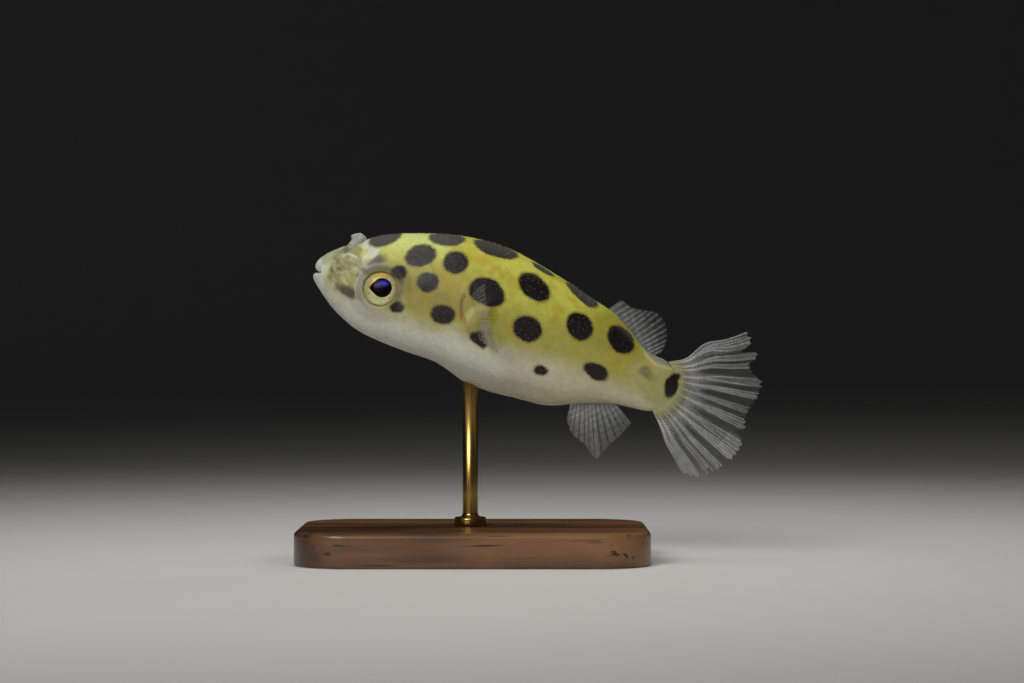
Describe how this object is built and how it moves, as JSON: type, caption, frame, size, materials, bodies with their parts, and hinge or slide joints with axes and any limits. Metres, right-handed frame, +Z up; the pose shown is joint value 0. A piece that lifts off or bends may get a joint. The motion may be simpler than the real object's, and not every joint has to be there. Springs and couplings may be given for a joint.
{
  "type": "green spotted pufferfish",
  "caption": "Small spotted pufferfish with raised snout, round eyes, held-out side fins and a spread tail fin, on a rod and flat base.",
  "frame": {"origin": "centre of the stand base's underside", "axes": "+Z up, snout towards -X, the fish's left flank towards -Y"},
  "size_m": [0.061, 0.031, 0.0432],
  "materials": {
    "skin": "yellow-green skin with dark round spots, wet and finely prickled",
    "belly_skin": "greyish white, wet and finely prickled",
    "lip": "smooth pale lip skin",
    "fin": "clear greyish web with pale rays",
    "eye": "black pupil in a golden iris under a clear glossy dome",
    "stand_wood": "dark walnut, satin lacquer",
    "stand_brass": "brushed"
  },
  "bodies": {
    "root": {"upper_lip": "lip", "lower_lip": "lip", "head": "skin", "trunk": "skin", "belly": "belly_skin", "tail_stalk": "skin", "eye_left": "eye", "eye_right": "eye", "nostril_left": "skin", "nostril_right": "skin", "pectoral_fin_left": "fin", "pectoral_fin_right": "fin", "dorsal_fin": "fin", "anal_fin": "fin", "caudal_fin": "fin", "stand_base": "stand_wood", "stand_rod": "stand_brass"}
  },
  "joints": []
}
